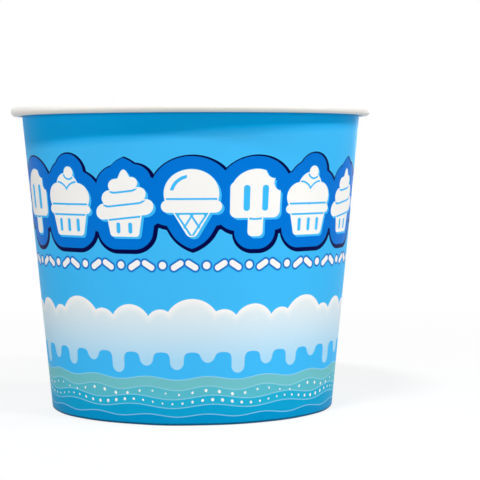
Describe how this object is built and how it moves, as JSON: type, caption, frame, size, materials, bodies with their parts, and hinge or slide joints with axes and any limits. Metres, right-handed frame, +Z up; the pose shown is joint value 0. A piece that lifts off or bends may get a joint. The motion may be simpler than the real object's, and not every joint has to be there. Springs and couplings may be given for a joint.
{
  "type": "paper ice cream cup",
  "caption": "Round tapered paper ice cream cup with a rolled rim, a lapped side seam and a recessed bottom held in a folded hem.",
  "frame": {"origin": "centre of the circle that the folded foot stands on, at table height", "axes": "+Z up along the cup's axis to the open mouth, -Y to the printed front, +Y to the lapped seam at the back, +X to the right of the front"},
  "size_m": [0.098, 0.098, 0.0816],
  "materials": {
    "printed_board": "satin coated board, printed in sky blue, deep blue and white outside and plain white inside",
    "white_board": "satin coated white board"
  },
  "bodies": {
    "root": {"side_wall": "printed_board", "bottom_disc": "white_board"}
  },
  "joints": []
}
